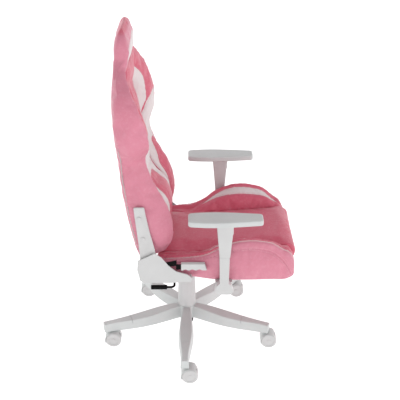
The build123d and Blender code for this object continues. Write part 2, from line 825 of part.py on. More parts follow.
def make_recliner():
    """Both recliners, their covers, the spring, and the lever with its cross shaft."""
    save(mirrored_pair(make_recliner_plate()), "recliner_plates")
    save(mirrored_pair(disc(HUB_DISC_Y, HUB_DISC_T, 29.0, RECLINE_SHAFT_R + FIT)), "recliner_hubs")
    save_pair(make_recliner_arm(), "recliner_arm_SIDE")
    save_pair(make_side_cover(), "side_cover_SIDE")
    save(make_cover_screws(), "cover_screws")
    save(make_recline_spring(), "recline_spring")
    save(make_recline_lever(), "recline_lever")
    save(make_recline_grip(), "recline_grip")
    with BuildPart() as shaft:
        with BuildSketch(side_plane(ARM_Y + ARM_T)):
            with Locations((RECLINE_X, RECLINE_Z)):
                Circle(RECLINE_SHAFT_R)
        extrude(amount=ARM_Y + ARM_T + LEVER_Y + LEVER_T)
    save(shaft, "recline_shaft")


# ---------------------------------------------------------------- backrest

def make_back_frame(hollow):
    """The bent frame of the backrest: two rails that close over the head, and cross bars.

    It is a tube if hollow is true, and otherwise the solid space that the tube takes in the foam.
    """
    rail = BACK_RAIL_Y
    with BuildPart() as frame:
        with BuildLine() as path:
            FilletPolyline(
                (-150, rail, 500), (-176, rail, 640), (-205, rail, 860), (-212, rail, 1010),
                (-213, 92, 1130), (-205, 88, 1222), (-205, -88, 1222), (-213, -92, 1130),
                (-212, -rail, 1010), (-205, -rail, 860), (-176, -rail, 640), (-150, -rail, 500),
                radius=30,
            )
        with BuildSketch(Plane(origin=path.line @ 0, z_dir=path.line % 0)):
            Circle(BACK_FRAME_R)
            if hollow:
                Circle(BACK_FRAME_R - 2, mode=Mode.SUBTRACT)
        sweep(path=path.line)
        for x, z in ((-156, 535), (-190, 750), (-211, 1000)):
            with BuildSketch(Plane(origin=(x, rail - 4, z), z_dir=(0, -1, 0))):
                Circle(6.0)
            extrude(amount=2 * rail - 8)
    return frame


def make_back_cushion(frame):
    """The middle of the backrest, following the back of the chair from the seat to the neck."""
    rear = [(section[1], section[0]) for section in BACK_SECTIONS]
    front = [(section[2], section[0]) for section in reversed(BACK_SECTIONS)]
    with BuildPart() as cushion:
        with BuildSketch(side_plane(BACK_CORE_HALF_Y)):
            with BuildLine():
                Polyline(*rear, *front, close=True)
            make_face()
        extrude(amount=2 * BACK_CORE_HALF_Y)
        add(frame.part, mode=Mode.SUBTRACT)
    return cushion


def make_back_wing(frame):
    """The left side wing: narrow at the waist, broad at the shoulder, its rim ahead of the middle."""
    with BuildPart() as wing:
        for z, rear, core, rim, rim_half, half in BACK_SECTIONS:
            with BuildSketch(Plane.XY.offset(z)):
                with BuildLine():
                    Polyline(
                        (rear, BACK_CORE_HALF_Y), (rear, half - 22), (rear + 14, half - 4),
                        (0.5 * (rear + rim), half), (rim - 6, rim_half + 5), (rim, rim_half - 4),
                        (rim - 4, rim_half - 14), (core, BACK_CORE_HALF_Y), close=True,
                    )
                make_face()
        loft(ruled=True)
        add(frame.part, mode=Mode.SUBTRACT)
    return wing


def make_head_cushion(frame):
    """The head section above the shoulders, leaning forward at the top."""
    with BuildPart() as head:
        for z, rear, front, half in HEAD_SECTIONS:
            with BuildSketch(Plane.XY.offset(z)) as section:
                with BuildLine():
                    Polyline((rear, -half), (front, -half), (front, half), (rear, half), close=True)
                make_face()
                fillet(section.vertices(), 9.0)
        loft(ruled=True)
        add(frame.part, mode=Mode.SUBTRACT)
    return head


def make_arm_bolts():
    """Four button-head bolts, two through each recliner arm into the back frame."""
    places = [(-150, 560), (-161, 640)]
    with BuildPart() as bolts:
        for side in (1, -1):
            with BuildSketch(side_plane(side * (ARM_Y + ARM_T))):
                with Locations(*places):
                    Circle(6.5)
            extrude(amount=-side * 3.0)
            with BuildSketch(side_plane(side * (ARM_Y - 0.5))):
                with Locations(*places):
                    Circle(7.0)
            extrude(amount=side * 4.0)
    return bolts


def make_backrest():
    """Frame, upholstery and fixings of the backrest."""
    save(make_back_frame(hollow=True), "back_frame")
    frame = make_back_frame(hollow=False)
    save(make_back_cushion(frame), "back_cushion")
    save_pair(make_back_wing(frame), "back_wing_SIDE")
    save(make_head_cushion(frame), "head_cushion")
    save(make_arm_bolts(), "arm_bolts")


# ---------------------------------------------------------------- armrests

def make_armrest_bracket():
    """The left armrest's foot, post and inner bar, bolted under the seat frame."""
    with BuildPart() as bracket:
        with BuildSketch(Plane.XY.offset(SEAT_BOTTOM - 5)):
            with Locations((POST_X - 1, 210)):
                RectangleRounded(60, 110, 6)
        extrude(amount=5)
        with BuildSketch(Plane(origin=(0, ARMREST_Y - 15, 0), x_dir=(1, 0, 0), z_dir=(0, -1, 0))) as side:
            with BuildLine():
                Polyline(
                    (108, 388), (100, 364), (112, 352), (157, 352), (168, 364), (160, 388), (151, 398),
                    (153, SLEEVE_BOTTOM - 0.3), (117, SLEEVE_BOTTOM - 0.3), (119, 398), close=True,
                )
            make_face()
            fillet(side.vertices().group_by(Axis.Y)[0], 5.0)
        extrude(amount=-28)
        fillet(bracket.faces().sort_by(Axis.Y)[-1].edges(), 2.0)
        with BuildSketch(Plane.XY.offset(SEAT_BOTTOM - 5)):
            with Locations((POST_X - 1, 253)):
                Rectangle(60, 16)
        extrude(amount=-22, taper=8)
        with BuildSketch(Plane.XY.offset(SLEEVE_BOTTOM - 5)):
            with Locations((POST_X, ARMREST_Y)):
                Rectangle(BAR_X, BAR_Y)
        extrude(amount=BAR_TOP - SLEEVE_BOTTOM + 5)
    return bracket


def make_armrest_sleeve():
    """The left armrest's tapered sleeve, which slides on the bar and carries the pad."""
    top = PAD_TOP - PAD_T
    with BuildPart() as sleeve:
        with BuildSketch(Plane.XY.offset(SLEEVE_BOTTOM)):
            with Locations((POST_X + 0.8, ARMREST_Y)):
                RectangleRounded(37.5, 28, 4)
        with BuildSketch(Plane.XY.offset(top)):
            with Locations((POST_X + 1, ARMREST_Y)):
                RectangleRounded(60, 36, 4)
        loft()
        with BuildSketch(Plane.XY.offset(SLEEVE_BOTTOM - 1)):
            with Locations((POST_X, ARMREST_Y)):
                Rectangle(BAR_X + 0.8, BAR_Y + 0.8)
        extrude(amount=BAR_TOP - SLEEVE_BOTTOM + 3, mode=Mode.SUBTRACT)
        with BuildSketch(Plane(origin=(POST_X + 60, ARMREST_Y, BUTTON_Z), z_dir=(-1, 0, 0))):
            Rectangle(16.8, 18.8)
        extrude(amount=60 - BAR_X / 2 - 0.4, mode=Mode.SUBTRACT)
    return sleeve


def make_armrest_button():
    """The left armrest's height button, in the front of the sleeve."""
    depth = 12.0
    with BuildPart() as button:
        with BuildSketch(Plane(origin=(POST_X + 30, ARMREST_Y, BUTTON_Z), z_dir=(-1, 0, 0))):
            Rectangle(16, 18)
        extrude(amount=depth)
        fillet(button.faces().sort_by(Axis.X)[-1].edges(), 1.5)
    return button


def make_armrest_pad():
    """The left armrest's soft pad: broad in the middle, narrower towards the front."""
    with BuildPart() as pad:
        with BuildSketch(Plane.XY.offset(PAD_TOP - PAD_T)) as outline:
            for side in (1, -1):
                with BuildLine():
                    edge = Spline(
                        (PAD_REAR, ARMREST_Y + side * 33), (PAD_REAR + 70, ARMREST_Y + side * 41.5),
                        (PAD_REAR + 150, ARMREST_Y + side * 39), (PAD_FRONT, ARMREST_Y + side * 27),
                    )
                    Polyline(
                        edge @ 1, (PAD_FRONT, ARMREST_Y), (PAD_REAR, ARMREST_Y), edge @ 0
                    )
                make_face()
            fillet(outline.vertices().group_by(Axis.X)[0], 14.0)
            fillet(outline.vertices().group_by(Axis.X)[-1], 12.0)
        extrude(amount=PAD_T)
        fillet(pad.faces().sort_by(Axis.Z)[-1].edges(), 5.0)
        fillet(pad.faces().sort_by(Axis.Z)[0].edges(), 3.0)
    return pad


def make_armrests():
    """Both armrests."""
    save_pair(make_armrest_bracket(), "armrest_SIDE_bracket")
    save_pair(make_armrest_sleeve(), "armrest_SIDE_sleeve")
    save_pair(make_armrest_button(), "armrest_SIDE_button")
    save_pair(make_armrest_pad(), "armrest_SIDE_pad")


def main():
    os.makedirs("parts", exist_ok=True)
    arm = make_arm()
    save(make_base(arm), "base_star")
    save(make_caps(arm), "base_arm_caps")
    make_casters()
    make_column()
    make_mechanism()
    make_seat()
    make_recliner()
    make_backrest()
    make_armrests()


main()
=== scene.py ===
"""The looks of the gaming chair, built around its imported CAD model."""

import json
import math

import bpy
import numpy as np
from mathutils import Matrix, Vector
from mathutils.bvhtree import BVHTree


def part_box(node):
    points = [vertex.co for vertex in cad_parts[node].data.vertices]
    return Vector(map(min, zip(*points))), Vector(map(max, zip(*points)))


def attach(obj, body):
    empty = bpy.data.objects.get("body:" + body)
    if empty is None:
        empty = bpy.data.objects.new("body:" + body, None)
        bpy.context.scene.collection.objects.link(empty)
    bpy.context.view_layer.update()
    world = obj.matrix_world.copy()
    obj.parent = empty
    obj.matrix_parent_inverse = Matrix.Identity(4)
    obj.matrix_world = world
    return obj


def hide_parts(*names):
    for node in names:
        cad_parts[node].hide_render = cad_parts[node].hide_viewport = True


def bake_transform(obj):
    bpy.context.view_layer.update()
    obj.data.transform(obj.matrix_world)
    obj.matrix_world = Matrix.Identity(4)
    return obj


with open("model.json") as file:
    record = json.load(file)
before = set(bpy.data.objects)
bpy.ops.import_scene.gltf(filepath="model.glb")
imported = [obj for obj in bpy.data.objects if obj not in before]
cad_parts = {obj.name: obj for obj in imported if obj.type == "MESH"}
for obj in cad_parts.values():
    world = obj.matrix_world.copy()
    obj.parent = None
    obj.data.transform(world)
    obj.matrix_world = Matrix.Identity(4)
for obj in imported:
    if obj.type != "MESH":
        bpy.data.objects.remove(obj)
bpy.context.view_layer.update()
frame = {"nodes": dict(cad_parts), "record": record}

# Leather and thread colours. The light pink and the rose are lit and shaded copies of the pink
# leather: the rose is painted shade on faces turned up or inward, partly also a darker leather
# tone.
PINK_LIT = (0.65, 0.221, 0.303)
ROSE_SHADED = (0.63, 0.098, 0.165)
WHITE = (0.745, 0.68, 0.685)
THREAD = (0.78, 0.42, 0.48)

# Backrest, up its height: z, rear x, core front x, rim x, rim half width, outer half width
BACK = [
    (0.474, -0.172, -0.090, -0.076, 0.184, 0.212),
    (0.520, -0.186, -0.074, -0.050, 0.191, 0.226),
    (0.570, -0.196, -0.066, -0.043, 0.196, 0.234),
    (0.640, -0.209, -0.086, -0.056, 0.195, 0.235),
    (0.680, -0.215, -0.120, -0.073, 0.193, 0.232),
    (0.725, -0.221, -0.141, -0.096, 0.189, 0.227),
    (0.780, -0.227, -0.147, -0.119, 0.184, 0.222),
    (0.842, -0.231, -0.158, -0.132, 0.185, 0.220),
    (0.885, -0.234, -0.170, -0.118, 0.222, 0.248),
    (0.925, -0.236, -0.180, -0.115, 0.258, 0.270),
    (0.985, -0.238, -0.189, -0.128, 0.265, 0.276),
    (1.043, -0.240, -0.194, -0.148, 0.264, 0.275),
    (1.088, -0.239, -0.192, -0.169, 0.238, 0.251),
    (1.118, -0.238, -0.190, -0.184, 0.204, 0.216),
    (1.135, -0.236, -0.190, -0.190, 0.178, 0.188),
    (1.150, -0.234, -0.193, -0.194, 0.153, 0.162),
    (1.168, -0.230, -0.197, -0.198, 0.132, 0.138),
]
# Head section, up its height: z, rear x, front x, half width
HEAD = [
    (1.122, -0.2365, -0.191, 0.198),
    (1.135, -0.2365, -0.190, 0.182),
    (1.150, -0.235, -0.187, 0.163),
    (1.170, -0.233, -0.183, 0.148),
    (1.200, -0.231, -0.178, 0.139),
    (1.222, -0.229, -0.183, 0.132),
    (1.240, -0.225, -0.188, 0.120),
    (1.251, -0.220, -0.192, 0.105),
    (1.259, -0.213, -0.199, 0.085),
]
# Seat bolster, forwards: x, half width, height of the outer seam, of the ridge, and of the core
BOLSTER = [
    (-0.105, 0.214, 0.448, 0.464, 0.457),
    (-0.040, 0.222, 0.458, 0.468, 0.458),
    (0.020, 0.225, 0.464, 0.474, 0.459),
    (0.070, 0.238, 0.474, 0.490, 0.461),
    (0.115, 0.248, 0.490, 0.518, 0.463),
    (0.165, 0.250, 0.503, 0.541, 0.466),
    (0.215, 0.250, 0.506, 0.549, 0.469),
    (0.265, 0.249, 0.503, 0.544, 0.472),
    (0.310, 0.246, 0.490, 0.530, 0.474),
    (0.345, 0.241, 0.466, 0.502, 0.480),
    (0.375, 0.232, 0.436, 0.480, 0.476),
    (0.389, 0.222, 0.424, 0.456, 0.453),
]
# Half widths of the middle cushions of the backrest and the seat, and the seat's underside
BACK_CORE_Y = 0.125
SEAT_CORE_Y = 0.150
SEAT_BOTTOM = 0.392

# Upholstery: rings in the roll at each end of a cover, points to each stretch of a sewn line
END_RINGS, LINE_STEPS = 3, 16
# The cloth simulation: pressure in a wide cushion and in a firm one, frames, reach of a seam's hold
WIDE_PRESSURE, FIRM_PRESSURE = 4.0, 3.0
CLOTH_FRAMES = 18
SEAM_HOLD = 0.0045
# Along a seam: its groove, the small folds across it, the stitches beside it, the cord proud of it
GROOVE_DEPTH, GROOVE_WIDTH = 0.0028, 0.0045
FOLD_DEPTH, FOLD_STEP, FOLD_REACH = 0.0007, 0.019, 0.012
STITCH_PLACE, STITCH_STEP = 0.0046, 0.0065
CORD_LIFT = 0.0006
# Half the width over which one leather colour turns into the next
EDGE_BLUR = 0.0006
# Points handled at once when distances to a line are measured
BATCH = 3000

# The floor turns up into a wall of this radius and height, with this many sides
STUDIO_RADIUS, STUDIO_HEIGHT, STUDIO_SIDES = 40.0, 15.0, 48
FLOOR_HEIGHT = -0.0006
FLOOR_LIGHT, FLOOR_DARK = (0.60, 0.60, 0.60), (0.56, 0.56, 0.56)
FLOOR_GLOW, SKY_GLOW = 0.75, 0.65
# Lamps: name, place, size, power. All of them aim at LAMP_TARGET.
LAMPS = (
    ("key", (0.2, -3.4, 2.0), 1.3, 6.0),
    ("fill", (3.2, -1.3, 1.3), 2.4, 18.0),
    ("rim", (-1.6, 2.4, 2.6), 2.0, 14.0),
)
LAMP_TARGET = (0, 0, 0.6)
CAMERA_PLACE = (0.0174, -2.8132, 2.0164)
CAMERA_DOWN, CAMERA_TURN = 26.93, -0.71
CAMERA_LENS, CAMERA_SENSOR = 75.8, 36.0


# ---------------------------------------------------------------- shapes


def hermite(a, b, slope_a, slope_b, f):
    """The cubic from a to b with those slopes, at the shares f of the way."""
    f2, f3 = f * f, f * f * f
    return (
        (2 * f3 - 3 * f2 + 1) * a
        + (f3 - 2 * f2 + f) * slope_a
        + (3 * f2 - 2 * f3) * b
        + (f3 - f2) * slope_b
    )


def along(table, t):
    """The row of a table at parameter t, smoothly between its rows."""
    rows = np.array(table, float)
    x, y = rows[:, 0], rows[:, 1:]
    slope = np.gradient(y, x, axis=0)
    i = int(np.clip(np.searchsorted(x, t) - 1, 0, len(x) - 2))
    h = x[i + 1] - x[i]
    return hermite(y[i], y[i + 1], slope[i] * h, slope[i + 1] * h, (t - x[i]) / h)


def chain(points, steps):
    """Points on a smooth line through the given ones, steps[i] of them before point i + 1."""
    p = np.array(points, float)
    gap = np.sqrt(np.maximum(np.linalg.norm(np.diff(p, axis=0), axis=1), 1e-6))
    t = np.concatenate(([0.0], np.cumsum(gap)))
    slope = np.gradient(p, t, axis=0)
    parts = []
    for i, n in enumerate(steps):
        f = (np.arange(n) / n)[:, None]
        h = t[i + 1] - t[i]
        parts.append(hermite(p[i], p[i + 1], slope[i] * h, slope[i + 1] * h, f))
    parts.append(p[-1:])
    return np.concatenate(parts)


def closed_loop(line, steps):
    """A line closed by a straight stretch of so many steps, ending on its first point."""
    straight = line[-1] + (line[0] - line[-1]) * (np.arange(1, steps) / steps)[:, None]
    return np.concatenate([line, straight, line[:1]])


def shares(steps):
    """The parameter of each point that chain() gives."""
    return np.concatenate(
        [i + np.arange(n) / n for i, n in enumerate(steps)] + [[len(steps)]]
    )


class Skin:
    """A closed grid of points: rings[i][j], with parameter u along the rings and v around each."""

    def __init__(self, rings, u, v):
        self.rings, self.u, self.v = np.array(rings), np.array(u), np.array(v)

    def at(self, points, rings=None):
        """The points of the surface at a list of (v, u)."""
        grid = self.rings if rings is None else rings
        points = np.array(points, float)
        i = np.interp(points[:, 1], self.u, np.arange(len(self.u)))
        j = np.interp(points[:, 0], self.v, np.arange(len(self.v)))
        i0 = np.minimum(i.astype(int), len(self.u) - 2)
        j0 = np.minimum(j.astype(int), len(self.v) - 2)
        fi, fj = (i - i0)[:, None], (j - j0)[:, None]
        return (1 - fi) * ((1 - fj) * grid[i0, j0] + fj * grid[i0, j0 + 1]) + fi * (
            (1 - fj) * grid[i0 + 1, j0] + fj * grid[i0 + 1, j0 + 1]
        )


def rounded_ends(rings, depth):
    """The rings with smaller ones past each end, so that the ends close in a soft roll."""
    first, last = [], []
    for k in range(1, END_RINGS + 1):
        turn = 0.5 * math.pi * k / (END_RINGS + 0.6)
        for end, nxt, out in ((rings[0], rings[1], first), (rings[-1], rings[-2], last)):
            centre = end.mean(0)
            away = centre - nxt.mean(0)
            away = away / np.linalg.norm(away)
            size = 1 - (1 - math.cos(turn)) * 0.9
            out.append(centre + (end - centre) * size + away * depth * math.sin(turn))
    return np.concatenate([first[::-1], rings, last])


def mesh_of_rings(name, rings):
    """A mesh of a closed stack of rings, with a point in the middle of each end."""
    m, n = rings.shape[:2]
    points = [*rings.reshape(-1, 3), rings[0].mean(0), rings[-1].mean(0)]
    faces = []
    for i in range(m - 1):
        for j in range(n):
            k = (j + 1) % n
            faces.append((i * n + j, i * n + k, (i + 1) * n + k, (i + 1) * n + j))
    for j in range(n):
        k = (j + 1) % n
        faces.append((m * n, k, j))
        faces.append((m * n + 1, (m - 1) * n + j, (m - 1) * n + k))
    mesh = bpy.data.meshes.new(name)
    mesh.from_pydata([tuple(p) for p in points], [], faces)
    mesh.update()
    return mesh


def outwards(mesh):
    """Turn a closed mesh the right way out."""
    co = vertices(mesh)
    volume = 0.0
    for p in mesh.polygons:
        a, b, c = (co[p.vertices[k]] for k in (0, 1, 2))
        volume += np.dot(a, np.cross(b, c))
    if volume < 0:
        mesh.flip_normals()


def vertices(mesh):
    """The places of a mesh's vertices, as rows."""
    co = np.empty(len(mesh.vertices) * 3)
    mesh.vertices.foreach_get("co", co)
    return co.reshape(-1, 3)


def set_vertices(mesh, co):
    mesh.vertices.foreach_set("co", np.asarray(co, float).ravel())
    mesh.update()


def normals(mesh):
    n = np.empty(len(mesh.vertices) * 3, np.float32)
    mesh.vertex_normals.foreach_get("vector", n)
    return n.reshape(-1, 3).astype(float)


def new_object(name, data):
    """A new object in the scene."""
    made = bpy.data.objects.new(name, data)
    bpy.context.scene.collection.objects.link(made)
    return made


def tube_mesh(name, path, radius, sides=8):
    """A round cord along a path of points, tapered at both ends."""
    path = np.array(path, float)
    tangent = np.gradient(path, axis=0)
    tangent /= np.maximum(np.linalg.norm(tangent, axis=1), 1e-9)[:, None]
    side = np.cross(tangent[0], (0.3, 0.5, 0.8))
    rings = []
    for k, (p, t) in enumerate(zip(path, tangent)):
        side = side - t * np.dot(side, t)
        side = side / np.linalg.norm(side)
        other = np.cross(t, side)
        end = min(k, len(path) - 1 - k)
        r = radius * min(1.0, 0.35 + 0.3 * end)
        angle = 2 * math.pi * np.arange(sides) / sides
        around = np.cos(angle)[:, None] * side + np.sin(angle)[:, None] * other
        rings.append(p + r * around)
    mesh = mesh_of_rings(name, np.array(rings))
    outwards(mesh)
    mesh.polygons.foreach_set("use_smooth", [True] * len(mesh.polygons))
    return mesh


def nearest(points, line):
    """The distance from each point to a line of points, and how far along the line that is."""
    step = np.linalg.norm(np.diff(line, axis=0), axis=1)
    run = np.concatenate(([0.0], np.cumsum(step)))
    away, place = np.empty(len(points)), np.empty(len(points))
    for start in range(0, len(points), BATCH):
        batch = slice(start, start + BATCH)
        part = points[batch]
        square = ((part[:, None, :] - line[None]) ** 2).sum(2)
        k = square.argmin(1)
        away[batch] = np.sqrt(square[np.arange(len(part)), k])
        place[batch] = run[k]
    return away, place


def inside(points, outline):
    """Whether each (v, u) point is inside a closed outline."""
    x0, y0 = outline.T
    x1, y1 = np.roll(outline, -1, 0).T
    px, py = points[:, 0][:, None], points[:, 1][:, None]
    cut = (x1 - x0) * (py - y0) / np.where(y1 == y0, 1e-12, y1 - y0) + x0
    return (((y0 > py) != (y1 > py)) & (px < cut)).sum(1) % 2 == 1


def inflate(piece, pinned, cap, pressure):
    """Blow a cover up by cloth simulation, with no point moved further than cap."""
    start = vertices(piece.data)
    group = piece.vertex_groups.new(name="held")
    group.add([int(k) for k in np.flatnonzero(pinned)], 1.0, "REPLACE")
    cloth = piece.modifiers.new("Cover", "CLOTH")
    s = cloth.settings
    s.quality = 5
    s.mass = 0.35
    s.tension_stiffness = s.compression_stiffness = 18
    s.shear_stiffness = 9
    s.bending_stiffness = 2.5
    s.air_damping = 2
    s.use_pressure = True
    s.uniform_pressure_force = pressure
    s.vertex_group_mass = "held"
    s.shrink_min = -0.02
    s.effector_weights.gravity = 0
    cloth.collision_settings.use_collision = False
    cloth.point_cache.frame_start = 1
    cloth.point_cache.frame_end = CLOTH_FRAMES
    scene = bpy.context.scene
    for f in range(1, CLOTH_FRAMES + 1):
        scene.frame_set(f)
    graph = bpy.context.evaluated_depsgraph_get()
    blown = vertices(piece.evaluated_get(graph).data)
    piece.modifiers.remove(cloth)
    piece.vertex_groups.remove(group)
    scene.frame_set(1)
    move = blown - start
    size = np.linalg.norm(move, axis=1)
    move *= (np.minimum(size, cap) / np.maximum(size, 1e-9))[:, None]
    move[~np.isfinite(move).all(1)] = 0
    set_vertices(piece.data, start + move)


def subdivided(piece):
    """Replace a piece's mesh with one subdivision of it."""
    level = piece.modifiers.new("Smooth", "SUBSURF")
    level.levels = level.render_levels = 1
    graph = bpy.context.evaluated_depsgraph_get()
    mesh = bpy.data.meshes.new_from_object(piece.evaluated_get(graph))
    piece.modifiers.remove(level)
    piece.data = mesh
    return mesh


def store(mesh, name, values):
    """Keep one value per vertex as a named attribute, for the material to read."""
    data = mesh.attributes.get(name) or mesh.attributes.new(name, "FLOAT", "POINT")
    data.data.foreach_set("value", np.asarray(values, np.float32))


def read(mesh, name):
    """The values of a named attribute."""
    out = np.empty(len(mesh.vertices), np.float32)
    mesh.attributes[name].data.foreach_get("value", out)
    return out.astype(float)


def smooth_line(points, closed=False):
    """A fine line through (v, u) points."""
    points = [*points, points[0]] if closed else points
    return chain(points, [LINE_STEPS] * (len(points) - 1))


def upholster(
    name, skin, seams, patches, shade_tone_edge, held, cap, pressure=FIRM_PRESSURE, roll=0.008
):
    """A padded piece on a skin: blown up between its seams, then grooved along them.

    seams are lines of (v, u) points, patches are closed outlines in the white leather, the tone
    edge says how deep a (v, u) point lies in the darker rose, which is painted shade on top and
    inner faces and partly a darker leather tone, and held says which points can't move.
    """
    rings = rounded_ends(skin.rings[:, :-1], roll)
    mesh = mesh_of_rings(name, rings)
    outwards(mesh)
    u_rows = np.concatenate([[skin.u[0]] * END_RINGS, skin.u, [skin.u[-1]] * END_RINGS])
    u = np.concatenate([np.repeat(u_rows, rings.shape[1]), [skin.u[0], skin.u[-1]]])
    v = np.concatenate([np.tile(skin.v[:-1], len(rings)), [0.0, 0.0]])
    store(mesh, "u", u)
    store(mesh, "v", v)
    piece = new_object(name, mesh)
    lines = [smooth_line(line) for line in seams]
    outlines = [smooth_line(line, closed=True) for line in patches]
    sewn = [skin.at(line) for line in lines + outlines]
    flat = np.stack([v, u], 1)
    gap = np.full(len(u), 1.0)
    for line in sewn:
        gap = np.minimum(gap, nearest(vertices(mesh), line)[0])
    at_ends = END_RINGS * rings.shape[1]
    past_end = np.zeros(len(u), bool)
    past_end[:at_ends] = True
    past_end[-2 - at_ends :] = True
    pinned = (gap < SEAM_HOLD) | held(flat) | past_end
    inflate(piece, pinned, cap, pressure)
    shaped = vertices(mesh)[: rings.shape[0] * rings.shape[1]].reshape(rings.shape)
    shaped = shaped[END_RINGS : len(shaped) - END_RINGS]
    shaped = np.concatenate([shaped, shaped[:, :1]], 1)
    mesh = subdivided(piece)
    mesh.name = name
    flat = np.stack([read(mesh, "v"), read(mesh, "u")], 1)
    rest = skin.at(flat)
    gap, place = np.full(len(flat), 1.0), np.zeros(len(flat))
    for line in sewn:
        away, run = nearest(rest, line)
        place = np.where(away < gap, run, place)
        gap = np.minimum(gap, away)
    white = np.full(len(flat), -1.0)
    for outline in outlines:
        away = nearest(rest, skin.at(outline))[0]
        white = np.maximum(white, np.where(inside(flat, outline), away, -away))
    co, n = vertices(mesh), normals(mesh)
    groove = GROOVE_DEPTH * np.exp(-((gap / GROOVE_WIDTH) ** 2))
    folds = FOLD_DEPTH * np.sin(place * 2 * math.pi / FOLD_STEP) * np.exp(-gap / FOLD_REACH)
    set_vertices(mesh, co - n * (groove + folds)[:, None])
    store(mesh, "seam", gap)
    store(mesh, "run", place)
    store(mesh, "white", white)
    # The darker rose share stored here is painted shade on top and inner faces, partly a darker
    # leather tone.
    store(mesh, "deep", shade_tone_edge(flat))
    mesh.polygons.foreach_set("use_smooth", [True] * len(mesh.polygons))
    return piece, shaped


def piping(name, piece, skin, shaped, line, radius):
    """A cord sewn along a (v, u) line, on the finished surface of a piece."""
    tree = BVHTree.FromPolygons(
        [tuple(p) for p in vertices(piece.data)],
        [tuple(p.vertices) for p in piece.data.polygons],
    )
    path = []
    for p in skin.at(smooth_line(line), shaped)[::2]:
        place, normal = tree.find_nearest(Vector(p))[:2]
        path.append(place + normal * CORD_LIFT)
    return new_object(name, tube_mesh(name, path, radius))


def mirrored(piece, name):
    """The mirror image of a piece across the middle of the chair."""
    mesh = piece.data.copy()
    mesh.name = name
    set_vertices(mesh, vertices(mesh) * (1, -1, 1))
    mesh.flip_normals()
    return new_object(name, mesh)


# ---------------------------------------------------------------- materials


class Nodes:
    """A short way to build a node material."""

    def __init__(self, name):
        self.material = bpy.data.materials.new(name)
        self.material.use_nodes = True
        self.tree = self.material.node_tree
        self.shader = self.tree.nodes["Principled BSDF"]
        self.place = self.add("ShaderNodeTexCoord").outputs["Object"]

    def add(self, kind, **values):
        """A new node with these properties."""
        node = self.tree.nodes.new(kind)
        for key, value in values.items():
            setattr(node, key, value)
        return node

    def join(self, out, socket):
        self.tree.links.new(out, socket)

    def put(self, node, **inputs):
        """Set or join a node's inputs, each by its name, or by its number as n0, n1 and so on."""
        for key, value in inputs.items():
            numbered = key[0] == "n" and key[1:].isdigit()
            socket = node.inputs[int(key[1:]) if numbered else key]
            if isinstance(value, bpy.types.NodeSocket):
                self.join(value, socket)
            else:
                socket.default_value = value
        return node

    def math(self, operation, a, b=0.0):
        node = self.put(self.add("ShaderNodeMath", operation=operation), n0=a, n1=b)
        return node.outputs[0]

    def ramp(self, value, low, high, a=0.0, b=1.0):
        """value taken from low..high to a..b, smoothly and clamped."""
        node = self.add("ShaderNodeMapRange", interpolation_type="SMOOTHSTEP")
        self.put(node, n0=value, n1=low, n2=high, n3=a, n4=b)
        return node.outputs[0]

    def attribute(self, name):
        return self.add("ShaderNodeAttribute", attribute_name=name).outputs["Fac"]

    def noise(self, scale, detail=3.0, rough=0.55, stretch=None):
        """Cloudy noise over the piece, stretched where its scale differs along X, Y and Z."""
        node = self.add("ShaderNodeTexNoise")
        place = self.place
        if stretch:
            mapped = self.put(self.add("ShaderNodeMapping"), Vector=place, Scale=stretch)
            place = mapped.outputs[0]
        self.put(node, Vector=place, Scale=scale, Detail=detail, Roughness=rough)
        return node.outputs[0]

    def cells(self, scale):
        """The distance to the edge of irregular cells, as in leather grain."""
        node = self.add("ShaderNodeTexVoronoi", feature="DISTANCE_TO_EDGE")
        self.put(node, Vector=self.place, Scale=scale)
        return node.outputs["Distance"]

    def mix(self, share, a, b, blend="MIX"):
        """Colour a turned into colour b by a share of 0 to 1."""
        node = self.add("ShaderNodeMix", data_type="RGBA", blend_type=blend)
        self.put(node, n0=share)
        for value, socket in ((a, node.inputs[6]), (b, node.inputs[7])):
            if isinstance(value, bpy.types.NodeSocket):
                self.join(value, socket)
            else:
                socket.default_value = (*value, 1.0)
        return node.outputs[2]

    def bump(self, height, distance, strength=1.0, normal=None):
        """A normal that follows a height, on top of another normal."""
        node = self.put(
            self.add("ShaderNodeBump"), Strength=strength, Distance=distance, Height=height
        )
        if normal is not None:
            self.join(normal, node.inputs["Normal"])
        return node.outputs[0]


def tinted(colour, factor):
    """The colour made lighter or darker."""
    return tuple(min(1.0, c * factor) for c in colour)


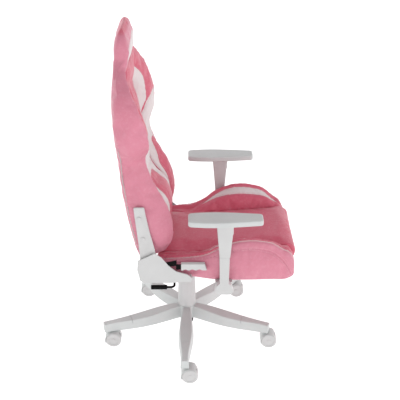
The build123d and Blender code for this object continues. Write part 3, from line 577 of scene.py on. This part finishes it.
def leather(name, light, deep, white):
    """Grained synthetic leather, with seams, stitches and panels from the attributes; the rose is
    painted shade on top and inner faces, and the seam grooves get painted shade.
    """
    m = Nodes(name)
    seam, run = m.attribute("seam"), m.attribute("run")
    # The rose picked here is painted shade on faces turned up or inward, partly a darker leather
    # tone.
    tone = m.ramp(m.attribute("deep"), -EDGE_BLUR, EDGE_BLUR)
    panel = m.ramp(m.attribute("white"), -EDGE_BLUR, EDGE_BLUR)
    mottle = m.noise(7.0, 4.0, 0.6)
    fine = m.noise(95.0, 3.0, 0.6)
    ground = m.mix(tone, light, deep)
    ground = m.mix(panel, ground, white)
    shade = m.ramp(mottle, 0.35, 0.68, 0.0, 0.09)
    ground = m.mix(shade, ground, tinted(deep, 0.80), "MULTIPLY")
    ground = m.mix(m.ramp(fine, 0.45, 0.75, 0.0, 0.05), ground, (1.0, 0.93, 0.93))
    grain = m.cells(620.0)
    ground = m.mix(m.ramp(grain, 0.0, 0.10, 0.14, 0.0), ground, tinted(deep, 0.45))
    # Painted shade in the seam grooves: the colour darkens within about a millimetre and a half of
    # each seam.
    fold = m.ramp(seam, 0.0002, 0.0014, 0.55, 0.0)
    ground = m.mix(fold, ground, (0.45, 0.36, 0.38), "MULTIPLY")
    row = m.math("ABSOLUTE", m.math("SUBTRACT", seam, STITCH_PLACE))
    thread = m.ramp(row, 0.00045, 0.00075, 1.0, 0.0)
    beat = m.math("FRACT", m.math("MULTIPLY", run, 1 / STITCH_STEP))
    dash = m.math("MULTIPLY", m.ramp(beat, 0.02, 0.10), m.ramp(beat, 0.66, 0.74, 1.0, 0.0))
    stitch = m.math("MULTIPLY", thread, dash)
    ground = m.mix(m.math("MULTIPLY", stitch, 0.75), ground, THREAD)
    m.put(m.shader, **{"Base Color": ground})
    rough = m.ramp(m.noise(26.0, 3.0), 0.3, 0.7, 0.40, 0.54)
    m.put(m.shader, Roughness=m.math("ADD", rough, m.math("MULTIPLY", stitch, 0.2)))
    crease = m.noise(9.0, 5.0, 0.62, (1.0, 1.0, 0.35))
    normal = m.bump(crease, 0.006, 0.22)
    normal = m.bump(m.noise(60.0, 4.0, 0.6), 0.0012, 0.22, normal)
    normal = m.bump(m.ramp(grain, 0.0, 0.22), 0.00022, 0.8, normal)
    normal = m.bump(stitch, 0.0006, 0.8, normal)
    normal = m.bump(m.ramp(seam, 0.0, 0.0018), 0.0012, 0.7, normal)
    m.put(m.shader, Normal=normal)
    m.shader.inputs["Sheen Weight"].default_value = 0.18
    m.shader.inputs["Sheen Roughness"].default_value = 0.4
    m.shader.inputs["Coat Weight"].default_value = 0.06
    m.shader.inputs["Coat Roughness"].default_value = 0.35
    return m.material


def moulded(
    name, colour, rough=0.42, grain=900.0, depth=0.00006, coat=0.0, wear=0.10, shine=0.5
):
    """Moulded plastic: a fine texture, faint cloudiness, random darker scuffs, and softened edges.
    """
    m = Nodes(name)
    cloud = m.noise(14.0, 4.0, 0.6)
    ground = m.mix(m.ramp(cloud, 0.3, 0.72, 0.0, 0.35), colour, tinted(colour, 0.88))
    scuff = m.noise(160.0, 5.0, 0.7, (1.0, 1.0, 0.25))
    ground = m.mix(m.ramp(scuff, 0.62, 0.80, 0.0, wear), ground, tinted(colour, 0.6))
    m.put(m.shader, **{"Base Color": ground})
    m.put(m.shader, Roughness=m.ramp(m.noise(40.0, 3.0), 0.3, 0.7, rough - 0.06, rough + 0.08))
    soft = m.add("ShaderNodeBevel", samples=4)
    soft.inputs["Radius"].default_value = 0.0009
    normal = m.bump(m.noise(grain, 2.0, 0.5), depth, 0.6, soft.outputs[0])
    normal = m.bump(cloud, 0.0015, 0.08, normal)
    m.put(m.shader, Normal=normal)
    m.shader.inputs["Specular IOR Level"].default_value = shine
    m.shader.inputs["Coat Weight"].default_value = coat
    m.shader.inputs["Coat Roughness"].default_value = 0.25
    return m.material


def painted(name, colour, rough=0.35, peel=0.0004, fleck=0.12, shine=0.4):
    """Powder paint over steel, with its orange-peel skin."""
    m = Nodes(name)
    cloud = m.noise(20.0, 3.0, 0.6)
    ground = m.mix(m.ramp(cloud, 0.35, 0.7, 0.0, 0.4), colour, tinted(colour, 0.84))
    speck = m.noise(420.0, 2.0, 0.5)
    ground = m.mix(m.ramp(speck, 0.66, 0.78, 0.0, fleck), ground, (0.5, 0.5, 0.5))
    m.put(m.shader, **{"Base Color": ground})
    m.put(m.shader, Roughness=m.ramp(speck, 0.3, 0.7, rough - 0.05, rough + 0.1))
    soft = m.add("ShaderNodeBevel", samples=4)
    soft.inputs["Radius"].default_value = 0.0008
    m.put(m.shader, Normal=m.bump(m.noise(330.0, 3.0, 0.6), peel, 0.25, soft.outputs[0]))
    m.shader.inputs["Specular IOR Level"].default_value = shine
    return m.material


def metal(name, colour, rough, streak=(1.0, 1.0, 30.0)):
    """Bare or plated steel, with drawn or turned marks."""
    m = Nodes(name)
    lines = m.noise(60.0, 4.0, 0.6, streak)
    ground = m.mix(m.ramp(lines, 0.3, 0.7, 0.0, 0.3), colour, tinted(colour, 0.7))
    m.put(m.shader, **{"Base Color": ground})
    m.put(m.shader, Roughness=m.ramp(lines, 0.3, 0.7, rough, rough + 0.12))
    m.put(m.shader, Normal=m.bump(lines, 0.0001, 0.15))
    m.shader.inputs["Metallic"].default_value = 1.0
    return m.material


def woven(name, colour):
    """Flat woven strap."""
    m = Nodes(name)
    across = m.add("ShaderNodeTexWave", bands_direction="X")
    m.put(across, Vector=m.place, Scale=260.0, Distortion=0.4)
    upright = m.add("ShaderNodeTexWave", bands_direction="Y")
    m.put(upright, Vector=m.place, Scale=260.0, Distortion=0.4)
    weave = m.math("MULTIPLY", across.outputs["Fac"], upright.outputs["Fac"])
    m.put(m.shader, **{"Base Color": m.mix(weave, colour, tinted(colour, 3.0))})
    m.put(m.shader, Roughness=m.ramp(weave, 0.0, 1.0, 0.75, 0.9))
    m.put(m.shader, Normal=m.bump(weave, 0.0004, 0.8))
    return m.material


def cord_leather(name, colour):
    """The wrapped cord of a piped edge."""
    m = Nodes(name)
    ground = m.mix(m.ramp(m.noise(60.0, 4.0), 0.3, 0.7, 0.0, 0.35), colour, tinted(colour, 0.8))
    m.put(m.shader, **{"Base Color": ground})
    m.put(m.shader, Roughness=m.ramp(m.noise(90.0), 0.3, 0.7, 0.42, 0.58))
    m.put(m.shader, Normal=m.bump(m.cells(700.0), 0.0002, 0.6))
    return m.material


pink_leather = leather("pink_leather_grain", PINK_LIT, ROSE_SHADED, WHITE)
white_cord = cord_leather("white_cord", (0.52, 0.47, 0.47))
pink_cord = cord_leather("pink_cord", (0.72, 0.48, 0.50))


def dress(piece, material, body, slot, *replaced):
    """Give a new piece its material and its body, and hide the nodes it replaces."""
    piece.data.materials.clear()
    piece.data.materials.append(material)
    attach(piece, body)
    if replaced:
        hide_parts(*replaced)


def dress_both(cover, cord, cord_material, body, node):
    """Make a left cover and its piping on the right as well, and dress both."""
    pairs = {"left": (cover, cord)}
    pairs["right"] = [mirrored(p, p.name.replace("left", "right")) for p in (cover, cord)]
    for side, (cover, cord) in pairs.items():
        dress(cover, pink_leather, body, "pink_leather", f"{node}_{side}")
        dress(cord, cord_material, body, "pink_leather")


# ---------------------------------------------------------------- backrest


def back_wing_skin():
    """The left wing: inner face from core to rim, outer side, back, and hidden wall."""
    steps = [10, 10, 3, 4, 8, 10, 5, 4, 9, 6]
    heights = np.linspace(BACK[0][0] + 0.006, BACK[-1][0] - 0.008, 72)
    rings = []
    for z in heights:
        rear, core, rim, rim_half, half = along(BACK, z)
        waist_fullness = 0.004 * math.exp(-(((z - 0.845) / 0.05) ** 2))
        half += waist_fullness
        core_edge = np.array((core, BACK_CORE_Y + 0.001))
        crest = np.array((rim - 0.004, rim_half - 0.012))
        span = crest - core_edge
        across = np.array((span[1], -span[0])) / max(np.linalg.norm(span), 1e-6)
        hollow = core_edge + 0.5 * span + across * 0.1 * np.linalg.norm(span)
        points = [
            core_edge,
            hollow,
            crest,
            (rim - 0.002, rim_half - 0.004),
            (rim - 0.010, rim_half + 0.005),
            (0.6 * rim + 0.4 * rear, half - 0.004),
            (0.3 * rim + 0.7 * rear, half - 0.002),
            (rear + 0.012, half - 0.010),
            (rear + 0.002, half - 0.028),
            (rear, BACK_CORE_Y + 0.001),
        ]
        line = chain(points, steps[:-1])
        loop = closed_loop(line, steps[-1])
        rearward = np.clip((-0.112 - loop[:, 0]) / 0.03, 0, 1)
        drop = 0.014 * rearward * np.clip(1 - (z - heights[0]) / 0.05, 0, 1)
        rings.append(np.column_stack([loop, z - drop]))
    return Skin(rings, heights, shares(steps))


def make_back_wings():
    """Both wings, with the piping down their backs."""
    skin = back_wing_skin()
    low, high = skin.u[0], skin.u[-1]
    rim_v, rear_v, hidden_v = 2.5, 7.0, 8.2
    leaf = [
        (0.02, 1.062), (0.30, 1.062), (0.58, 1.047), (0.80, 1.030), (0.96, 1.002),
        (0.90, 0.966), (0.80, 0.933), (0.60, 0.917), (0.30, 0.898), (0.02, 0.885),
    ]
    wall = [(9.02, 0.505), (9.98, 0.505), (9.98, 0.870), (9.02, 0.870)]
    waist = [
        (2.30, 0.948), (1.68, 0.941), (1.20, 0.931), (0.76, 0.917), (0.50, 0.898), (0.25, 0.884),
        (0.02, 0.870), (0.02, 0.74), (0.02, 0.62), (0.02, 0.505), (0.28, 0.505), (0.32, 0.57),
        (0.38, 0.602), (0.50, 0.638), (0.66, 0.672), (0.92, 0.697), (1.14, 0.716), (1.20, 0.738),
        (1.05, 0.768), (1.75, 0.782), (2.85, 0.792), (2.90, 0.85), (2.80, 0.92),
    ]
    rim = [(rim_v, z) for z in (low, 0.7, 0.9, high)]
    rear = [(rear_v, z) for z in (low, 0.7, 0.93)]

    def held(flat):
        v, z = flat.T
        return (v > hidden_v) | (z > 1.128) | ((v < 0.6) & (z > 0.64) & (z < 0.86))

    # The inner face, short of the rim, gets the darker rose: painted shade, partly a darker leather
    # tone.
    wing, shaped = upholster(
        "wing_left", skin, [rim, rear], [leaf, waist, wall],
        lambda flat: (rim_v - flat[:, 0]) * 0.02,
        held, cap=0.010,
    )
    cord_line = [(rear_v, z) for z in (low, 0.7, 0.905)]
    cord = piping("wing_piping_left", wing, skin, shaped, cord_line, radius=0.0017)
    dress_both(wing, cord, white_cord, "backrest", "back_wing")


def make_back_cushion():
    """The middle of the backrest. On the skin, v 1 to 2 is the front, from right to left."""
    heights = np.linspace(BACK[0][0] + 0.006, HEAD[1][0] + 0.007, 72)
    steps = [4, 22, 4, 4, 22, 4]
    rings = []
    for z in heights:
        rear, core = along(BACK, z)[:2]
        edge = BACK_CORE_Y - 0.001
        swell = 0.009 + 0.010 * math.exp(-(((z - 0.635) / 0.05) ** 2))
        front = [(core - 0.005, -edge), (core - 0.001, -edge + 0.008)]
        middle = np.linspace(-edge + 0.008, edge - 0.008, 23)[1:]
        curve = [(core - 0.001 + swell * (1 - (y / edge) ** 2), y) for y in middle]
        left = [(core - 0.005, edge)]
        loop = [
            *chain(front, [4])[:-1], front[1], *curve[:-1],
            *chain([curve[-1], left[0]], [4])[:-1],
            *chain([left[0], (rear + 0.002, edge)], [4])[:-1],
            *chain([(rear + 0.002, edge), (rear + 0.002, -edge)], [22])[:-1],
            *chain([(rear + 0.002, -edge), front[0]], [4])[:-1],
        ]
        loop = np.array([*loop, loop[0]])
        rings.append(np.column_stack([loop, np.full(len(loop), z)]))
    skin = Skin(rings, heights, shares(steps))
    edge = [(0.5, 0.885), (0.40, 0.845), (0.20, 0.812), (0.0, 0.80)]
    arch = [
        (0.28, 0.50), (0.27, 0.56), (0.27, 0.60), (0.27, 0.632), (0.26, 0.668), (0.18, 0.698),
        (0.0, 0.710),
    ]
    half = [(0.96, 0.50), (0.96, 0.70), (0.96, 0.885), *edge]
    waist = (
        [(1.5 - d, z) for d, z in arch[:-1]] + [(1.5 + d, z) for d, z in arch[::-1]]
        + [(1.5 + d, z) for d, z in half[:-1]] + [(1.5 - d, z) for d, z in half[::-1]]
    )
    fold = [(1.06, 0.700), (1.25, 0.722), (1.5, 0.732), (1.75, 0.722), (1.94, 0.700)]
    belt = [(1.0, 1.075), (1.5, 1.060), (2.0, 1.075)]
    channels = [
        [(1.36, 1.07), (1.34, 0.96), (1.34, 0.84)],
        [(1.64, 1.07), (1.66, 0.96), (1.66, 0.84)],
    ]

    def held(flat):
        v, z = flat.T
        return (v > 2.6) | (v < 0.4) | ((abs(v - 1.5) > 0.38) & (z > 0.67) & (z < 0.86))

    # The front gets the darker rose and the back the light pink: painted shade on the front, partly
    # a darker leather tone.
    cushion, _ = upholster(
        "back_pad", skin, [fold, belt, *channels], [waist],
        lambda flat: np.where((flat[:, 0] > 3.0) & (flat[:, 0] < 5.9), -0.02, 0.02),
        held, cap=0.014, pressure=WIDE_PRESSURE,
    )
    dress(cushion, pink_leather, "backrest", "rose_leather", "back_cushion")


def head_loop(rear, front, half):
    """A section of the head pad: a crowned front, rounded corners and a flat back."""
    r = min(0.016, 0.4 * (front - rear), 0.5 * half)
    swell = 0.005
    y = np.linspace(-half + r, half - r, 25)
    turn = np.linspace(0, math.pi / 2, 5)[:-1]
    f, sin, cos = front - swell, np.sin(turn), np.cos(turn)
    side = np.full(6, half)
    depth = np.linspace(f - r, rear + r, 7)
    return np.concatenate([
        np.column_stack([f - r + r * sin, -half + r - r * cos]),
        np.column_stack([f + swell * (1 - (y / half) ** 2), y])[:-1],
        np.column_stack([f - r + r * cos, half - r + r * sin]),
        np.column_stack([depth[:-1], side]),
        np.column_stack([rear + r - r * sin, half - r + r * cos]),
        np.column_stack([np.full(24, rear), y[::-1][:-1]]),
        np.column_stack([rear + r - r * cos, -half + r - r * sin]),
        np.column_stack([depth[::-1][:-1], -side]),
        [[f - r, -half]],
    ])


def make_head():
    """The head cushion, with a white panel across its front."""
    steps = [4, 24, 4, 6, 4, 24, 4, 6]
    low, high = HEAD[0][0], HEAD[-1][0]
    heights = np.linspace(low, high, 24)
    rings = []
    for z in heights:
        rear, front, half = along(HEAD, z)
        loop = head_loop(rear, front - 0.001, half - 0.001)
        rings.append(np.column_stack([loop, np.full(len(loop), z)]))
    skin = Skin(rings, heights, shares(steps))
    panel = [
        (1.04, 1.204), (1.5, 1.214), (1.96, 1.204), (1.98, 1.188),
        (1.92, 1.165), (1.5, 1.152), (1.08, 1.165), (1.02, 1.188),
    ]
    # The top of the head, above 1.25 m, gets the darker rose: painted shade on the top, partly a
    # darker leather tone.
    head, _ = upholster(
        "head_pad", skin, [], [panel], lambda flat: (flat[:, 1] - 1.250) * 0.08,
        lambda flat: flat[:, 1] < 1.148, cap=0.005, roll=0.006,
    )
    dress(head, pink_leather, "backrest", "pink_leather", "head_cushion")


# ---------------------------------------------------------------- seat


def seat_bolster_skin():
    """The left bolster: inner slope, ridge, outer side, underside, and hidden wall."""
    steps = [8, 8, 3, 3, 4, 7, 7, 3, 9, 7]
    places = np.linspace(BOLSTER[0][0] + 0.006, BOLSTER[-1][0] - 0.002, 62)
    rings = []
    for x in places:
        half, seam, ridge, core = along(BOLSTER, x)
        inner = np.array((SEAT_CORE_Y + 0.001, core - 0.003))
        lip = np.array((half - 0.042, ridge - 0.010))
        bulge = 0.008 * min(1.0, (ridge - core) / 0.06 + 0.2)
        hem = SEAT_BOTTOM + 0.001 - 0.008 * math.exp(-(((x - 0.16) / 0.22) ** 6))
        hem -= 0.008 * math.exp(-(((x - 0.36) / 0.04) ** 2))
        points = [
            inner,
            0.5 * (inner + lip) + np.array((-0.6, 1.0)) * bulge,
            lip,
            (half - 0.026, ridge - 0.001),
            (half - 0.012, ridge - 0.012),
            (half - 0.002, seam - 0.002),
            (half - 0.001, 0.5 * (seam + SEAT_BOTTOM)),
            (half - 0.003, hem + 0.010),
            (half - 0.012, hem),
            (SEAT_CORE_Y + 0.001, SEAT_BOTTOM + 0.001),
        ]
        line = chain(points, steps[:-1])
        loop = closed_loop(line, steps[-1])
        rings.append(np.column_stack([np.full(len(loop), x), loop]))
    return Skin(rings, places, shares(steps))


def make_bolsters():
    """Both bolsters, with the piping along their ridges. On the skin, v 3 is the ridge."""
    skin = seat_bolster_skin()
    low, high = skin.u[0], skin.u[-1]
    leaf = [
        (1.9, 0.060), (1.98, 0.100), (2.04, 0.150), (2.06, 0.215), (2.03, 0.290), (1.96, 0.345),
        (1.90, 0.366), (1.62, 0.345), (1.40, 0.300), (1.32, 0.240), (1.36, 0.180), (1.52, 0.115),
    ]
    reach = [low, 0.10, 0.22, 0.28, 0.335, high]
    edge = [3.8, 3.7, 3.55, 3.4, 3.15, 2.9]
    top = list(zip(edge, reach))
    side = [
        (4.8, low), (4.75, 0.1), (4.65, 0.25), (4.7, 0.30),
        (4.9, 0.335), (5.4, 0.362), (6.4, 0.376), (7.5, 0.372),
    ]
    # The inner slope and ridge get the darker rose, the outer side the light pink: painted shade on
    # the upward faces, partly a darker leather tone.
    bolster, shaped = upholster(
        "bolster_left", skin, [top, side], [leaf],
        lambda flat: (np.interp(flat[:, 1], reach, edge) - flat[:, 0]) * 0.013,
        lambda flat: flat[:, 0] > 7.6, cap=0.010,
    )
    cord = piping("bolster_piping_left", bolster, skin, shaped, top, radius=0.0016)
    dress_both(bolster, cord, pink_cord, "seat", "seat_bolster")


def make_seat_pad():
    """The seat cushion: one profile, from the rear over the top and round the front."""
    profile = [
        (-0.104, 0.394), (-0.104, 0.440), (-0.098, 0.456), (0.020, 0.459), (0.180, 0.467),
        (0.325, 0.478), (0.374, 0.480), (0.397, 0.465), (0.398, 0.442), (0.384, 0.412),
        (0.362, 0.394), (0.100, 0.393),
    ]
    steps = [4, 3, 10, 14, 14, 5, 4, 3, 4, 4, 16]
    line = chain(profile, steps)
    underside_steps = 16
    loop = closed_loop(line, underside_steps)
    v = shares([*steps, underside_steps])
    widths = np.linspace(-SEAT_CORE_Y + 0.003, SEAT_CORE_Y - 0.003, 40)
    rings = []
    for y in widths:
        dip = 1 - (y / SEAT_CORE_Y) ** 2
        crown = 0.004 * dip * np.sin((v - 1.5) / 6.0 * math.pi)
        lift = np.where((v > 1.5) & (v < 7.5), crown, 0.0)
        rings.append(np.column_stack([loop[:, 0], np.full(len(loop), y), loop[:, 1] + lift]))
    skin = Skin(rings, widths, v)
    # The whole seat pad gets the darker rose: painted shade on the top, partly a darker leather
    # tone.
    pad, _ = upholster(
        "seat_pad", skin, [], [],
        lambda flat: np.full(len(flat), 0.02),
        lambda flat: (flat[:, 0] > 9.6) | (flat[:, 0] < 0.8), cap=0.012, pressure=WIDE_PRESSURE,
    )
    dress(pad, pink_leather, "seat", "rose_leather", "seat_cushion")


# ---------------------------------------------------------------- carried-over nodes

BLACK = (0.004, 0.004, 0.0045)
SLOT_MATERIALS = {
    "white_nylon": moulded("white_nylon_mould", (0.585, 0.605, 0.602), 0.40, 700.0, 0.00008),
    "white_cover": moulded(
        "white_cover_mould", (0.565, 0.565, 0.565), 0.34, 1200.0, 0.00004, coat=0.1
    ),
    "white_wheel": moulded("white_wheel_mould", (0.58, 0.575, 0.575), 0.45),
    "pad_foam": moulded("pad_skin", (0.56, 0.575, 0.575), 0.55, 520.0, 0.00018, wear=0.04),
    "white_steel": painted("white_paint", (0.58, 0.575, 0.575)),
    "black_steel": painted("black_paint", BLACK, 0.5, fleck=0.01, shine=0.08),
    "black_plastic": moulded("black_mould", BLACK, 0.55, 500.0, 0.00015, shine=0.1),
    "zinc_steel": metal("zinc_plate", (0.55, 0.56, 0.58), 0.30),
    "chrome_rod": metal("hard_chrome", (0.72, 0.72, 0.74), 0.08, (30.0, 30.0, 1.0)),
    "bush_nylon": moulded("bush_mould", (0.55, 0.54, 0.50), 0.45),
    "strap": woven("strap_weave", (0.02, 0.02, 0.022)),
    "rose_leather": pink_leather,
    "pink_leather": pink_leather,
}


def dress_nodes():
    """Give each carried-over node the material of its slot."""
    for part in frame["record"]["subparts"]:
        node = frame["nodes"][part["node"]]
        node.data.materials.clear()
        node.data.materials.append(SLOT_MATERIALS[part["material_slot"]])


def make_tilt_spring():
    """The coil between the housing and the tension knob, built at rest; the real spring shortens as
    the seat tilts.
    """
    low, high = np.array(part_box("tilt_spring"), float)
    wire, turns, turn_steps = 0.002, 5, 24
    middle = 0.5 * (low + high)
    angle = np.linspace(0, 2 * math.pi * turns, turn_steps * turns + 1)
    reach = 0.5 * (high[0] - low[0]) - wire
    path = np.column_stack([
        middle[0] + reach * np.cos(angle), middle[1] + reach * np.sin(angle),
        np.linspace(low[2] + wire, high[2] - wire, len(angle)),
    ])
    coil = new_object("tilt_spring_coil", tube_mesh("tilt_spring_coil", path, wire, sides=10))
    coil.data.materials.append(SLOT_MATERIALS["zinc_steel"])
    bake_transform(coil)
    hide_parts("tilt_spring")


# ---------------------------------------------------------------- studio


def make_floor():
    """A pale floor that turns up into a wall far off all round."""
    turn = 2 * math.pi * np.arange(STUDIO_SIDES) / STUDIO_SIDES
    rim = np.column_stack([np.cos(turn), np.sin(turn)]) * STUDIO_RADIUS
    points = [(x, y, z) for z in (FLOOR_HEIGHT, STUDIO_HEIGHT) for x, y in rim]
    n = STUDIO_SIDES
    faces = [tuple(range(n))] + [(k, (k + 1) % n, n + (k + 1) % n, n + k) for k in range(n)]
    floor = bpy.data.meshes.new("floor")
    floor.from_pydata(points, [], faces)
    ground = new_object("floor", floor)
    m = Nodes("pale_floor")
    tint = m.mix(m.ramp(m.noise(3.0), 0.3, 0.7, 0.0, 0.2), FLOOR_LIGHT, FLOOR_DARK)
    m.put(m.shader, **{"Base Color": tint, "Roughness": 0.9})
    m.shader.inputs["Emission Color"].default_value = (1, 1, 1, 1)
    m.shader.inputs["Emission Strength"].default_value = FLOOR_GLOW
    floor.materials.append(m.material)


def make_lights():
    """A pale sky and three soft lamps."""
    world = bpy.data.worlds.new("studio")
    bpy.context.scene.world = world
    world.use_nodes = True
    sky = world.node_tree.nodes["Background"]
    sky.inputs["Color"].default_value = (1, 1, 1, 1)
    sky.inputs["Strength"].default_value = SKY_GLOW
    for name, place, size, power in LAMPS:
        lamp = bpy.data.lights.new(name, "AREA")
        lamp.energy, lamp.size = power, size
        holder = new_object(name, lamp)
        aim = Vector(LAMP_TARGET) - Vector(place)
        holder.location = place
        holder.rotation_euler = aim.to_track_quat("-Z", "Y").to_euler()


def make_camera():
    """The camera, which looks down at the chair's right side."""
    camera = bpy.data.cameras.new("camera")
    camera.lens, camera.sensor_width = CAMERA_LENS, CAMERA_SENSOR
    holder = new_object("camera", camera)
    holder.location = CAMERA_PLACE
    holder.rotation_euler = (math.radians(90 - CAMERA_DOWN), 0, math.radians(CAMERA_TURN))
    bpy.context.scene.camera = holder
    bpy.context.scene.view_settings.view_transform = "Standard"


make_floor()
make_lights()
make_camera()
dress_nodes()
make_back_wings()
make_back_cushion()
make_head()
make_bolsters()
make_seat_pad()
make_tilt_spring()
